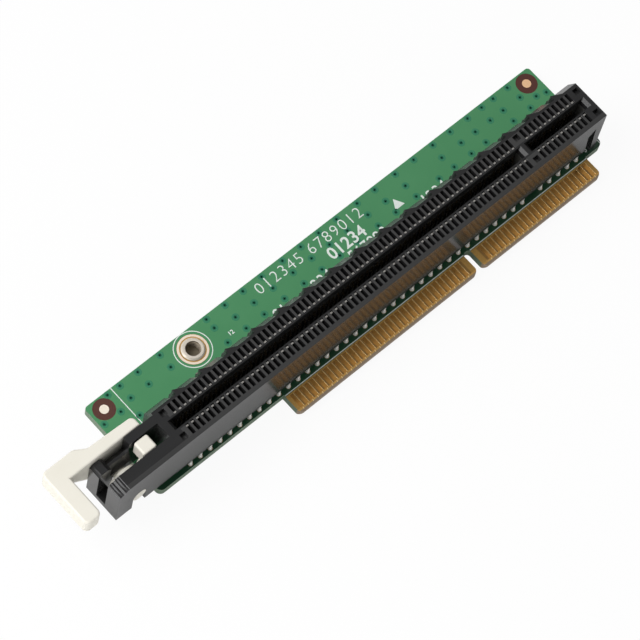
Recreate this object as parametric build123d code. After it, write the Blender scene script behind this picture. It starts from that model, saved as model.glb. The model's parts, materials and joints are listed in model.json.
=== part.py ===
from build123d import *
from math import cos, hypot, radians, sin
import os

# Frame: X runs along the card connector, Y across the board, Z up from the board's
# component face. X = 0 is the middle of the key, Y = 0 the middle of the card slot.

# Board, in mm
BOARD_THICKNESS = 1.57
BOARD_LEFT = -78.05
BOARD_RIGHT = 16.0
BOARD_BACK = 13.4
BOARD_FRONT = -4.2
BACK_CORNER_RADIUS = 0.6
FRONT_CORNER_RADIUS = 1.0

# Edge fingers
TAB_EDGE = -8.0
LEFT_TAB_START = -53.0
TAB_SLOT_CENTRE = -14.5
TAB_SLOT_WIDTH = 1.4
RIGHT_TAB_END = 12.05
TAB_CORNER_RADIUS = 0.9
TAB_SLOT_RADIUS = 0.6
BEVEL_LENGTH = 0.55
BEVEL_DEPTH = 0.35
PAD_PITCH = 1.0
PAD_WIDTH = 0.7
PAD_LENGTH = 2.6
LEFT_PAD_COUNT = 36
RIGHT_PAD_COUNT = 24
PAD_SIDE_MARGIN = 1.8

# Layers on the board
COPPER = 0.035
MASK = 0.035
INK = 0.02
MASK_FRONT = -4.6
MASK_GAP = 0.05
INK_WIDTH = 0.15

# Card connector housing
CONTACT_PITCH = 1.0
CONTACTS_RIGHT_OF_KEY = 11
CONTACTS_LEFT_OF_KEY = 71
KEY_TO_CONTACT = 1.5
HOUSING_TOP = 11.25
HOUSING_STANDOFF = 1.6
HOUSING_FRONT = -3.75
HOUSING_BACK = 4.65
SHOULDER_BACK = 3.45
SHOULDER_DROP = 2.35
END_WALL_RIGHT = 3.0
END_DRAFT = 0.3
END_WALL_LEFT = 3.0
SLOT_WIDTH = 1.8
SLOT_END_MARGIN = 1.45
SLOT_FLOOR = 3.2
SLOT_CHAMFER = 0.5
KEY_WIDTH = 1.7
LIP_THICKNESS = 0.25
LIP_BOTTOM = 9.2
CAVITY_WIDTH = 0.6
CAVITY_REACH = 3.0
MOULD_POCKET = 1.05
MOULD_POCKET_DEPTH = 1.2
MOULD_POCKET_Y = 2.35
MOULD_POCKET_PAST_RIGHT_END = 0.35
MOULD_POCKET_AT_KEY = 0.15
MOULD_POCKET_PAST_LEFT_END = 0.1
END_GROOVE_NEAR = 1.2
END_GROOVE_FAR = 2.6
END_GROOVE_BELLY = 3.3
END_GROOVE_BELLY_Z = 7.2
END_GROOVE_TOP = 1.9
END_GROOVE_TOP_Z = 8.4
END_GROOVE_DEPTH = 0.7
NOTCH_PITCH = 5.27
NOTCH_WIDTH = 1.0
FIRST_NOTCH = 5.55
NOTCH_COUNT = 16
WEDGE_LENGTH = 1.8
WEDGE_REACH = 0.85
FOOT_LENGTH = 1.8
FOOT_WIDTH = 2.0
END_FOOT_LENGTH = 1.2
FOOT_CONTACT_GAP = 0.4
PEG_RADIUS = 0.8
PEG_FIT = 0.05
PEG_LENGTH = 1.9

# Contacts
CONTACT_WIDTH = 0.42
CONTACT_THICKNESS = 0.24
INNER_TAIL_Y = 1.56
OUTER_TAIL_Y = 3.56
BEAM_Y = 2.4
BEND_Z = 4.0
BEAM_RISE = 1.5
BUMP_Y = 0.62
BUMP_Z = 7.6
LIP_GAP = 0.11
TIP_BEND_DROP = 0.1
TIP_Z = 11.0
JOG_Z = 1.1
JOG_RISE = 0.1
LEAD_HOLE_RADIUS = 0.31
JOINT_RADIUS = 0.5
JOINT_TOP_RADIUS = 0.3
JOINT_HEIGHT = 0.55
TIP_RADIUS = 0.28
LEAD_STICK_OUT = 0.95
TIN = 0.1
FILLET_RADIUS = 0.38
FILLET_TOP_RADIUS = 0.26
FILLET_HEIGHT = 0.5

# Latch tower, moulded on the left end of the housing
TOWER_LENGTH = 12.1
TOWER_BACK = 3.05
TOWER_BOTTOM = 1.7
CHANNEL_FRONT = -1.1
CHANNEL_BACK = 1.65
CHANNEL_WALL = 0.9
CHANNEL_START = 0.3
END_STRIP = 0.5
END_STRIP_TOP = 2.9
CHANNEL_FLOOR = 0.5
CHANNEL_FLOOR_LENGTH = 2.4
PILLAR_LENGTH = 2.0
PILLAR_DROP = 1.3
PILLAR_BACK_LEAN = 0.5
PILLAR_TOP_INSET = 0.3
PILLAR_CHAMFER = 0.5
WALL_CUT_START = 5.7
WALL_CUT_TOP = 9.0
WALL_CUT_STEP = 6.6
WALL_CUT_INNER = 1.55
WALL_CUT_LAND = 0.45
WALL_CUT_EDGE = 6.9
GRIP_SETBACK = 1.9
GRIP_DROP = 1.15
GRIP_RADIUS = 0.42
GRIP_INSET = 0.14

# Latch lever
PIVOT_BACKSET = 4.35
PIVOT_Z = 4.95
PIVOT_RADIUS = 1.2
PIVOT_CLEARANCE = 0.08
SIDE_CLEARANCE = 0.1
HUB_RADIUS = 2.4
HUB_BACK = 0.35
NECK_BACK = -0.1
NECK_ROOT = 1.0
NECK_SKIN = 0.3
NECK_DROP = 0.6
NECK_BURY = 0.8
NECK_LEFT_INSET = 0.4
NECK_RIGHT_INSET = 0.6
NUB_LENGTH = 2.55
NUB_HEIGHT = 3.2
NUB_SETBACK = 2.65
NUB_BACK = 1.45
ARM_THICKNESS = 2.1
ARM_END_TAPER = 0.35
ARM_INNER_END = 2.3
ARM_INNER_DEPTH = 2.7
ARM_STEP = 1.15
ARM_STEP_RUN = 1.9
ARM_STEP_START = 10.4
ARM_BELLY = [(2.0, -1.2), (1.0, -2.0), (-1.6, -2.0), (-4.4, -0.2)]
TAB_LENGTH = 10.4
TAB_WIDTH = 2.95
TAB_DEPTH = 3.25
TAB_OVERHANG = 3.7
TAB_ROOT = 0.8
LEVER_CORNER = 0.9
LEVER_EDGE = 0.35

# Threaded nut and its pads
NUT_X = -58.77
NUT_Y = 10.28
NUT_RADIUS = 1.92
NUT_THREAD_RADIUS = 1.25
NUT_PROUD = 0.35
NUT_CHAMFER = 0.25
NUT_PAD_RADIUS = 2.5
NUT_PAD_GAP = 0.22
NUT_FIT = 0.03

# Fiducial marks
FIDUCIAL_INSET_LEFT = 2.3
FIDUCIAL_INSET_RIGHT = 2.2
FIDUCIAL_INSET_BACK = 2.05
FIDUCIAL_DOT_RADIUS = 0.75
FIDUCIAL_CLEAR_RADIUS = 1.82

# Plated through vias in three rows, and some near the board's corners, read off the board
VIA_RADIUS = 0.3
VIA_BORE = 0.15
VIA_FLANGE = 0.42
VIA_ROWS = [
    (12.75, [-71.4, -67.8, -63.35, -53.85, -50.05, -46.3, -42.4, -38.05, -34.2, -30.4, -26.6,
             -22.2, -18.4, -14.0, -9.95, -5.75, -1.95, 1.9, 5.05, 7.6, 10.8]),
    (10.2, [-71.4, -67.8, -63.35, -50.1, -46.25, -42.3, -38.1, -34.2, -30.4, -26.6, -22.2, -18.4,
            -14.1, -6.15, -1.9, 1.25, 4.55, 7.45, 11.2]),
    (7.75, [-53.85, -50.05, -46.3, -42.1, -38.0, -34.2, -30.4, -26.6, -22.2, -18.4, -14.0, -9.0,
            -5.7, -1.9, 1.3, 7.45, 11.25]),
]
CORNER_VIAS = [
    (-77.35, 9.45), (-74.05, 9.45), (-73.85, 12.8), (-72.2, 7.2), (-53.85, 10.9), (13.45, 8.7), (15.25, 8.2),
]

# Printed marks
RING_RADIUS = 3.03
DIVIDER_INSET = 5.28
TICK_INSET = 0.3
TICK_LENGTH = 0.85
TRIANGLE_X = -17.25
TRIANGLE_Y = 8.6
TRIANGLE_SIZE = 1.15

# Sizes that follow
board_bottom = -BOARD_THICKNESS
left_tab_end = TAB_SLOT_CENTRE - TAB_SLOT_WIDTH / 2
right_tab_start = TAB_SLOT_CENTRE + TAB_SLOT_WIDTH / 2
first_contact = KEY_TO_CONTACT + (CONTACTS_RIGHT_OF_KEY - 1) * CONTACT_PITCH
last_contact = -KEY_TO_CONTACT - (CONTACTS_LEFT_OF_KEY - 1) * CONTACT_PITCH
housing_right = first_contact + END_WALL_RIGHT
housing_left = last_contact - END_WALL_LEFT
slot_right = first_contact + SLOT_END_MARGIN
slot_left = last_contact - SLOT_END_MARGIN
tower_end = housing_left - TOWER_LENGTH
pivot_x = tower_end + PIVOT_BACKSET
shoulder_z = HOUSING_TOP - SHOULDER_DROP
joint_bottom = board_bottom - LEAD_STICK_OUT
tip_y = SLOT_WIDTH / 2 + LIP_THICKNESS + LIP_GAP + CONTACT_THICKNESS / 2


def block(x0, x1, y0, y1, z0, z1):
    """Box between two corners."""
    centre = Pos((x0 + x1) / 2, (y0 + y1) / 2, (z0 + z1) / 2)
    return centre * Box(x1 - x0, y1 - y0, z1 - z0)


def prism(outline, axis, low, high):
    """Prism along one axis over an outline given in the other two, in X, Y, Z order."""
    place = {
        "x": lambda a, b: (low, a, b),
        "y": lambda a, b: (a, low, b),
        "z": lambda a, b: (a, b, low),
    }[axis]
    along = {"x": (1, 0, 0), "y": (0, 1, 0), "z": (0, 0, 1)}[axis]
    face = make_face(Polyline(*[place(a, b) for a, b in outline], close=True))
    return extrude(face, high - low, dir=along)


def rod_y(x, z, radius, y0, y1):
    """Round bar along Y."""
    return Pos(x, (y0 + y1) / 2, z) * Rot(90, 0, 0) * Cylinder(radius, y1 - y0)


def post(x, y, radius, z0, z1):
    """Round bar along Z."""
    return Pos(x, y, (z0 + z1) / 2) * Cylinder(radius, z1 - z0)


def holed_plate(outline, holes, low, high):
    """Plate between two heights, with round holes given as X, Y and radius."""
    rings = [Wire.make_circle(radius, Plane(origin=(x, y, 0))) for x, y, radius in holes]
    face = Face(outline.faces()[0].outer_wire(), rings)
    return extrude(Pos(0, 0, low) * face, high - low, dir=(0, 0, 1))


def ribbon(line, thickness):
    """Outline of a bent strip of even thickness along a line of points."""
    left, right = [], []
    for i, (a, b) in enumerate(line):
        steps = [(p, q) for p, q in ((i - 1, i), (i, i + 1)) if p >= 0 and q < len(line)]
        normals = []
        for p, q in steps:
            da, db = line[q][0] - line[p][0], line[q][1] - line[p][1]
            normals.append((-db / hypot(da, db), da / hypot(da, db)))
        na = sum(n[0] for n in normals) / len(normals)
        nb = sum(n[1] for n in normals) / len(normals)
        reach = thickness / 2 / (na * na + nb * nb)
        left.append((a + na * reach, b + nb * reach))
        right.append((a - na * reach, b - nb * reach))
    return left + right[::-1]


def contact_places():
    """X of the contacts whose leads stand in the outer rows, then those in the inner rows."""
    right = [first_contact - i * CONTACT_PITCH for i in range(CONTACTS_RIGHT_OF_KEY)]
    left = [-KEY_TO_CONTACT - i * CONTACT_PITCH for i in range(CONTACTS_LEFT_OF_KEY)]
    return right[1::2] + left[0::2], right[0::2] + left[1::2]


def lead_places():
    """X and Y of every lead, on both sides of the slot."""
    outer, inner = contact_places()
    rows = [(outer, OUTER_TAIL_Y), (inner, INNER_TAIL_Y)]
    return [(x, side * y) for places, y in rows for x in places for side in (-1, 1)]


def via_places():
    """X and Y of every plated via."""
    return [(x, y) for y, row in VIA_ROWS for x in row] + CORNER_VIAS


def fiducials():
    """X and Y of the two round copper marks."""
    return [
        (BOARD_LEFT + FIDUCIAL_INSET_LEFT, BOARD_BACK - FIDUCIAL_INSET_BACK),
        (BOARD_RIGHT - FIDUCIAL_INSET_RIGHT, BOARD_BACK - FIDUCIAL_INSET_BACK),
    ]


def peg_places():
    """X of the locating pegs under the housing."""
    return [0, (slot_left + housing_left) / 2]


def board_outline():
    """Board outline with its two finger tabs and the slot between them."""
    corners = [
        (BOARD_LEFT, BOARD_BACK), (BOARD_RIGHT, BOARD_BACK), (BOARD_RIGHT, BOARD_FRONT),
        (RIGHT_TAB_END, BOARD_FRONT), (RIGHT_TAB_END, TAB_EDGE), (right_tab_start, TAB_EDGE),
        (right_tab_start, BOARD_FRONT), (left_tab_end, BOARD_FRONT), (left_tab_end, TAB_EDGE),
        (LEFT_TAB_START, TAB_EDGE), (LEFT_TAB_START, BOARD_FRONT), (BOARD_LEFT, BOARD_FRONT),
    ]
    face = make_face(Polyline(*corners, close=True))
    rounded = [
        (BACK_CORNER_RADIUS, [(x, BOARD_BACK) for x in (BOARD_LEFT, BOARD_RIGHT)]),
        (FRONT_CORNER_RADIUS, [(x, BOARD_FRONT) for x in (BOARD_LEFT, BOARD_RIGHT)]),
        (TAB_CORNER_RADIUS, [(x, TAB_EDGE) for x in
                             (LEFT_TAB_START, left_tab_end, right_tab_start, RIGHT_TAB_END)]),
        (TAB_SLOT_RADIUS, [(x, BOARD_FRONT) for x in (left_tab_end, right_tab_start)]),
    ]
    for radius, places in rounded:
        for x, y in places:
            corner = face.vertices().sort_by_distance((x, y, 0))[0]
            face = fillet(corner, radius)
    return face


def board():
    """Laminate board with every hole that passes through it and bevelled finger edges."""
    holes = [(x, y, LEAD_HOLE_RADIUS) for x, y in lead_places()]
    holes += [(x, y, VIA_RADIUS) for x, y in via_places()]
    holes += [(x, 0, PEG_RADIUS + PEG_FIT) for x in peg_places()]
    holes.append((NUT_X, NUT_Y, NUT_RADIUS + NUT_FIT))
    plate = holed_plate(board_outline(), holes, board_bottom, 0)
    bevel_start = TAB_EDGE + BEVEL_LENGTH
    top = [(TAB_EDGE, 0), (TAB_EDGE, -BEVEL_DEPTH), (bevel_start, 0)]
    bottom = [(y, board_bottom - z) for y, z in top]
    cutters = [prism(shape, "x", LEFT_TAB_START, RIGHT_TAB_END) for shape in (top, bottom)]
    return plate - cutters


def mask(low, high, lead_radius):
    """Green solder mask on one face, open at the fingers, leads, nut and fiducials."""
    outline = board_outline()
    bare = block(BOARD_LEFT, BOARD_RIGHT, TAB_EDGE, MASK_FRONT, -1, 1)
    outline = outline - bare.faces().sort_by(Axis.Z)[0].moved(Location((0, 0, 1)))
    holes = [(x, y, lead_radius) for x, y in lead_places()]
    holes += [(x, y, VIA_FLANGE + MASK_GAP) for x, y in via_places()]
    holes += [(x, 0, PEG_RADIUS + PEG_FIT) for x in peg_places()]
    holes.append((NUT_X, NUT_Y, NUT_PAD_RADIUS + MASK_GAP))
    if low >= 0:
        holes += [(x, y, FIDUCIAL_CLEAR_RADIUS) for x, y in fiducials()]
    return holed_plate(outline, holes, low, high)


def edge_pads(low, high):
    """Gold contact pads of the edge fingers on one face."""
    left = [left_tab_end - PAD_SIDE_MARGIN - i * PAD_PITCH for i in range(LEFT_PAD_COUNT)]
    right = [right_tab_start + PAD_SIDE_MARGIN + i * PAD_PITCH for i in range(RIGHT_PAD_COUNT)]
    y0 = TAB_EDGE + BEVEL_LENGTH
    y1 = y0 + PAD_LENGTH
    half = PAD_WIDTH / 2
    return Compound([block(x - half, x + half, y0, y1, low, high) for x in left + right])


def beam_points(tail_y):
    """Centre line of a contact in Y and Z, from the end of its lead to its tip."""
    lead = [(tail_y, joint_bottom + TIN), (tail_y, JOG_Z), (BEAM_Y, JOG_Z + JOG_RISE)]
    if tail_y < BEAM_Y:
        lead = [(tail_y, joint_bottom + TIN), (tail_y, SLOT_FLOOR + CONTACT_THICKNESS), (BEAM_Y, BEND_Z)]
    spring = [(BEAM_Y, BEND_Z + BEAM_RISE), (BUMP_Y, BUMP_Z)]
    return lead + spring + [(tip_y, LIP_BOTTOM - TIP_BEND_DROP), (tip_y, TIP_Z)]


def contact_row(places, tail_y, side):
    """One row of stamped spring contacts on one side of the slot."""
    line = [(side * y, z) for y, z in beam_points(tail_y)]
    one = prism(ribbon(line, CONTACT_THICKNESS), "x", -CONTACT_WIDTH / 2, CONTACT_WIDTH / 2)
    return Compound([one.solids()[0].moved(Location((x, 0, 0))) for x in places])


def slot_outline(x0, x1, places):
    """Plan of one stretch of the card slot with a contact cavity on each side of every place."""
    half, reach = SLOT_WIDTH / 2, CAVITY_REACH
    upper = [(x0, half)]
    for x in sorted(places):
        a, b = x - CAVITY_WIDTH / 2, x + CAVITY_WIDTH / 2
        upper += [(a, half), (a, reach), (b, reach), (b, half)]
    upper.append((x1, half))
    return upper + [(x, -y) for x, y in reversed(upper)]


def slot_cutters():
    """Card slot with its end chamfers, and the cavities, open to the slot below its lips."""
    outer, inner = contact_places()
    half, key = SLOT_WIDTH / 2, KEY_WIDTH / 2
    cutters = []
    for x0, x1 in ((slot_left, -key), (key, slot_right)):
        inside = [x for x in outer + inner if x0 < x < x1]
        cutters.append(prism(slot_outline(x0, x1, inside), "z", SLOT_FLOOR, LIP_BOTTOM))
        cutters.append(block(x0, x1, -half, half, LIP_BOTTOM, HOUSING_TOP))
        for x, size in ((x0, -SLOT_CHAMFER), (x1, SLOT_CHAMFER)):
            ramp = [(x, HOUSING_TOP), (x + size, HOUSING_TOP), (x, HOUSING_TOP - SLOT_CHAMFER)]
            cutters.append(prism(ramp, "y", -half, half))
    low, high, wide = half + LIP_THICKNESS, CAVITY_REACH, CAVITY_WIDTH / 2
    for x in outer + inner:
        for y0, y1 in ((low, high), (-high, -low)):
            cutters.append(block(x - wide, x + wide, y0, y1, LIP_BOTTOM, HOUSING_TOP))
    return cutters


def mould_pockets():
    """Square pockets in the housing's top, beside the key and past both ends of the slot."""
    size, bottom = MOULD_POCKET / 2, HOUSING_TOP - MOULD_POCKET_DEPTH
    places = (slot_right + MOULD_POCKET_PAST_RIGHT_END, MOULD_POCKET_AT_KEY,
              slot_left - MOULD_POCKET_PAST_LEFT_END)
    return [block(x - size, x + size, y - size, y + size, bottom, HOUSING_TOP)
            for x in places for y in (-MOULD_POCKET_Y, MOULD_POCKET_Y)]


def lead_slots():
    """Slots in the housing floor that each contact is pressed through."""
    outer, inner = contact_places()
    half, thick = CONTACT_WIDTH / 2, CONTACT_THICKNESS / 2
    cutters = []
    for places, y in ((outer, BEAM_Y), (inner, INNER_TAIL_Y)):
        for x in places:
            for side in (-1, 1):
                cutters.append(block(x - half, x + half, side * y - thick, side * y + thick,
                                     HOUSING_STANDOFF, SLOT_FLOOR))
    return cutters


def housing_body():
    """Long body of the card connector."""
    section = [
        (HOUSING_FRONT, HOUSING_STANDOFF), (HOUSING_BACK, HOUSING_STANDOFF),
        (HOUSING_BACK, shoulder_z), (SHOULDER_BACK, HOUSING_TOP), (HOUSING_FRONT, HOUSING_TOP),
    ]
    body = prism(section, "x", housing_left, housing_right)
    draft = [
        (housing_right, HOUSING_STANDOFF), (housing_right, HOUSING_TOP),
        (housing_right - END_DRAFT, HOUSING_TOP),
    ]
    body -= prism(draft, "y", HOUSING_FRONT, HOUSING_BACK)
    notches, wedges = [], []
    for i in range(NOTCH_COUNT):
        x = housing_right - FIRST_NOTCH - i * NOTCH_PITCH
        notches.append(block(x - NOTCH_WIDTH / 2, x + NOTCH_WIDTH / 2, SHOULDER_BACK, HOUSING_BACK,
                             HOUSING_STANDOFF, HOUSING_TOP))
        start = x + NOTCH_WIDTH / 2
        plan = [(start, SHOULDER_BACK), (start + WEDGE_LENGTH, SHOULDER_BACK),
                (start, SHOULDER_BACK + WEDGE_REACH)]
        wedges.append(prism(plan, "z", shoulder_z, HOUSING_TOP))
    body = body - notches + wedges
    groove = [
        (housing_right - END_GROOVE_FAR, HOUSING_STANDOFF),
        (housing_right - END_GROOVE_BELLY, END_GROOVE_BELLY_Z),
        (housing_right - END_GROOVE_TOP, END_GROOVE_TOP_Z),
        (housing_right - END_GROOVE_NEAR, HOUSING_STANDOFF),
    ]
    return body - prism(groove, "y", HOUSING_FRONT, HOUSING_FRONT + END_GROOVE_DEPTH)


def feet():
    """Feet and locating pegs under the housing."""
    low, high, wide = MASK, HOUSING_STANDOFF, FOOT_WIDTH / 2
    solids = [block(housing_right - END_FOOT_LENGTH, housing_right, HOUSING_FRONT, HOUSING_BACK, low, high)]
    for x in peg_places():
        half = FOOT_LENGTH / 2
        if x == 0:
            half = KEY_TO_CONTACT - CONTACT_WIDTH / 2 - FOOT_CONTACT_GAP
        solids.append(block(x - half, x + half, -wide, wide, low, high))
        solids.append(post(x, 0, PEG_RADIUS, -PEG_LENGTH, MASK))
    return solids


def pivot_slot(y0, y1):
    """Round-topped slot that the lever's pin snaps up into."""
    radius = PIVOT_RADIUS + PIVOT_CLEARANCE
    round_top = rod_y(pivot_x, PIVOT_Z, radius, y0, y1)
    return round_top + block(pivot_x - radius, pivot_x + radius, y0, y1, TOWER_BOTTOM, PIVOT_Z)


def tower():
    """Latch tower: two side walls, a low end strip, a short floor and the channel between them."""
    cut_start = housing_left - WALL_CUT_START
    pillar_start = tower_end + PILLAR_LENGTH
    pillar_top = HOUSING_TOP - PILLAR_DROP
    grip_start = tower_end + GRIP_SETBACK
    front = [
        (housing_left, TOWER_BOTTOM), (housing_left, HOUSING_TOP), (grip_start, HOUSING_TOP),
        (tower_end, HOUSING_TOP - GRIP_DROP), (tower_end, TOWER_BOTTOM),
    ]
    front = prism(front, "y", HOUSING_FRONT, CHANNEL_FRONT)
    step = ((tower_end - grip_start) / 4, -GRIP_DROP / 4)
    for i in (1, 3):
        front += rod_y(grip_start + i * step[0] + GRIP_INSET, HOUSING_TOP + i * step[1] - GRIP_INSET,
                       GRIP_RADIUS, HOUSING_FRONT, CHANNEL_FRONT)
    near = block(cut_start, housing_left, CHANNEL_BACK, TOWER_BACK, TOWER_BOTTOM, HOUSING_TOP)
    cut_section = [
        (TOWER_BACK, TOWER_BOTTOM), (CHANNEL_WALL, TOWER_BOTTOM), (CHANNEL_WALL, WALL_CUT_STEP),
        (WALL_CUT_INNER, WALL_CUT_TOP), (WALL_CUT_INNER + WALL_CUT_LAND, WALL_CUT_TOP),
        (TOWER_BACK, WALL_CUT_EDGE),
    ]
    middle = prism(cut_section, "x", pillar_start, cut_start)
    pillar = prism([
        (pillar_start, TOWER_BOTTOM), (pillar_start + PILLAR_BACK_LEAN, WALL_CUT_TOP),
        (pillar_start - PILLAR_TOP_INSET, pillar_top), (tower_end + PILLAR_CHAMFER, pillar_top),
        (tower_end, pillar_top - PILLAR_CHAMFER), (tower_end, TOWER_BOTTOM),
    ], "y", CHANNEL_WALL, TOWER_BACK)
    strip = block(tower_end, tower_end + END_STRIP, CHANNEL_FRONT, CHANNEL_WALL, TOWER_BOTTOM, END_STRIP_TOP)
    head = block(housing_left - CHANNEL_START, housing_left, HOUSING_FRONT, TOWER_BACK,
                 TOWER_BOTTOM, HOUSING_TOP)
    floor = block(tower_end, tower_end + CHANNEL_FLOOR_LENGTH, CHANNEL_FRONT, CHANNEL_WALL,
                  TOWER_BOTTOM, TOWER_BOTTOM + CHANNEL_FLOOR)
    walls = front + near + middle + pillar + strip + floor + head
    return walls - pivot_slot(HOUSING_FRONT, CHANNEL_FRONT) - pivot_slot(CHANNEL_WALL, TOWER_BACK)


def housing():
    """Connector moulding: body with slot and cavities, feet, pegs and the latch tower."""
    body = housing_body() - slot_cutters()
    body = body - mould_pockets() - lead_slots()
    return body + tower() + feet()


def lever():
    """Latch lever, one moulding: outer arm and finger tab, pivot pin, hub, neck and nub."""
    arm_front = TOWER_BACK + SIDE_CLEARANCE
    arm_back = arm_front + ARM_THICKNESS
    arm_right = housing_left - ARM_INNER_END
    step_x = arm_right - ARM_STEP_START + ARM_STEP_RUN
    tab_left = tower_end - TAB_OVERHANG - TAB_WIDTH
    tab_back = arm_back + ARM_STEP
    tab_front = tab_back - TAB_LENGTH
    plan = [
        (arm_right, arm_front), (tab_left + TAB_WIDTH, arm_front), (tab_left + TAB_WIDTH, tab_front),
        (tab_left, tab_front), (tab_left, tab_back), (step_x - ARM_STEP_RUN, tab_back),
        (step_x, arm_back), (arm_right, arm_back - ARM_END_TAPER),
    ]
    floor = HOUSING_TOP - TAB_DEPTH
    side = [(tab_left, HOUSING_TOP), (arm_right, HOUSING_TOP), (arm_right, HOUSING_TOP - ARM_INNER_DEPTH)]
    side += [(pivot_x + x, PIVOT_Z + z) for x, z in ARM_BELLY]
    side += [(tab_left + TAB_WIDTH + TAB_ROOT, floor), (tab_left, floor)]
    outline = make_face(Polyline(*plan, close=True))
    soft = [plan[i] for i in (2, 3, 4, 5, 6, 7)]
    corners = [outline.vertices().sort_by_distance((x, y, 0))[0] for x, y in soft]
    outline = fillet(corners, LEVER_CORNER)
    arm = extrude(outline, HOUSING_TOP, dir=(0, 0, 1)) & prism(side, "y", tab_front, tab_back)
    rim = arm.faces().sort_by(Axis.Z)[-1].outer_wire().edges()
    arm = fillet(rim, LEVER_EDGE)
    plate_front = CHANNEL_FRONT + SIDE_CLEARANCE
    pin = rod_y(pivot_x, PIVOT_Z, PIVOT_RADIUS, HOUSING_FRONT, arm_front)
    hub = rod_y(pivot_x, PIVOT_Z, HUB_RADIUS, plate_front, HUB_BACK)
    nub_left = pivot_x + NUB_SETBACK
    nub_right = nub_left + NUB_LENGTH
    nub_bottom = HOUSING_TOP - NUB_HEIGHT
    nub = block(nub_left, nub_right, plate_front, NUB_BACK, nub_bottom, HOUSING_TOP)
    nub = fillet(nub.edges(), LEVER_EDGE)
    neck = [
        (pivot_x + NECK_ROOT, PIVOT_Z), (pivot_x + HUB_RADIUS - NECK_SKIN, PIVOT_Z - NECK_DROP),
        (nub_right - NECK_RIGHT_INSET, nub_bottom + NECK_BURY),
        (nub_left + NECK_LEFT_INSET, nub_bottom + NECK_BURY),
    ]
    return arm + pin + hub + nub + prism(neck, "y", plate_front, NECK_BACK)


def solder_joints():
    """Solder cones under the board, each over the end of a lead."""
    height = LEAD_STICK_OUT
    cone = Cone(JOINT_TOP_RADIUS, JOINT_RADIUS, JOINT_HEIGHT)
    cone = Pos(0, 0, -JOINT_HEIGHT / 2) * cone
    tip = post(0, 0, TIP_RADIUS, -height, -JOINT_HEIGHT)
    half, thick = CONTACT_WIDTH / 2, CONTACT_THICKNESS / 2
    one = cone + tip - block(-half, half, -thick, thick, TIN - height, 0)
    return Compound([one.solids()[0].moved(Location((x, y, board_bottom))) for x, y in lead_places()])


def lead_fillets():
    """Small solder fillets round each lead on the component face."""
    half, thick = CONTACT_WIDTH / 2, CONTACT_THICKNESS / 2
    cone = Pos(0, 0, FILLET_HEIGHT / 2) * Cone(FILLET_RADIUS, FILLET_TOP_RADIUS, FILLET_HEIGHT)
    one = cone - block(-half, half, -thick, thick, 0, FILLET_HEIGHT)
    return Compound([one.solids()[0].moved(Location((x, y, 0))) for x, y in lead_places()])


def via_barrels():
    """Plated barrels through the board with a flange on each face."""
    barrel = post(0, 0, VIA_RADIUS, board_bottom, 0)
    barrel += post(0, 0, VIA_FLANGE, 0, COPPER) + post(0, 0, VIA_FLANGE, board_bottom - COPPER, board_bottom)
    barrel -= post(0, 0, VIA_BORE, board_bottom - COPPER, COPPER)
    return Compound([barrel.solids()[0].moved(Location((x, y, 0))) for x, y in via_places()])


def nut():
    """Threaded nut seated in the board, proud of the component face."""
    body = post(NUT_X, NUT_Y, NUT_RADIUS, board_bottom - COPPER, NUT_PROUD)
    body = chamfer(body.edges().sort_by(Axis.Z)[-1], NUT_CHAMFER)
    return body - post(NUT_X, NUT_Y, NUT_THREAD_RADIUS, board_bottom - COPPER, NUT_PROUD)


def nut_pad(low, high):
    """Copper ring round the nut on one face."""
    inner = NUT_RADIUS + NUT_PAD_GAP
    return post(NUT_X, NUT_Y, NUT_PAD_RADIUS, low, high) - post(NUT_X, NUT_Y, inner, low, high)


def printed_ring():
    """Printed circle round the nut."""
    low, high, half = MASK, MASK + INK, INK_WIDTH / 2
    disc = post(NUT_X, NUT_Y, RING_RADIUS + half, low, high)
    return disc - post(NUT_X, NUT_Y, RING_RADIUS - half, low, high)


def printed_line(x0, x1, y0, y1):
    """Straight printed line."""
    return block(x0, x1, y0, y1, MASK, MASK + INK)


def printed_triangle():
    """Printed triangle that points away from the fingers."""
    low, high = MASK, MASK + INK
    corners = [(TRIANGLE_X + TRIANGLE_SIZE * sin(radians(a)), TRIANGLE_Y + TRIANGLE_SIZE * cos(radians(a)))
               for a in (0, 120, 240)]
    return prism(corners, "z", low, high)


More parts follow.
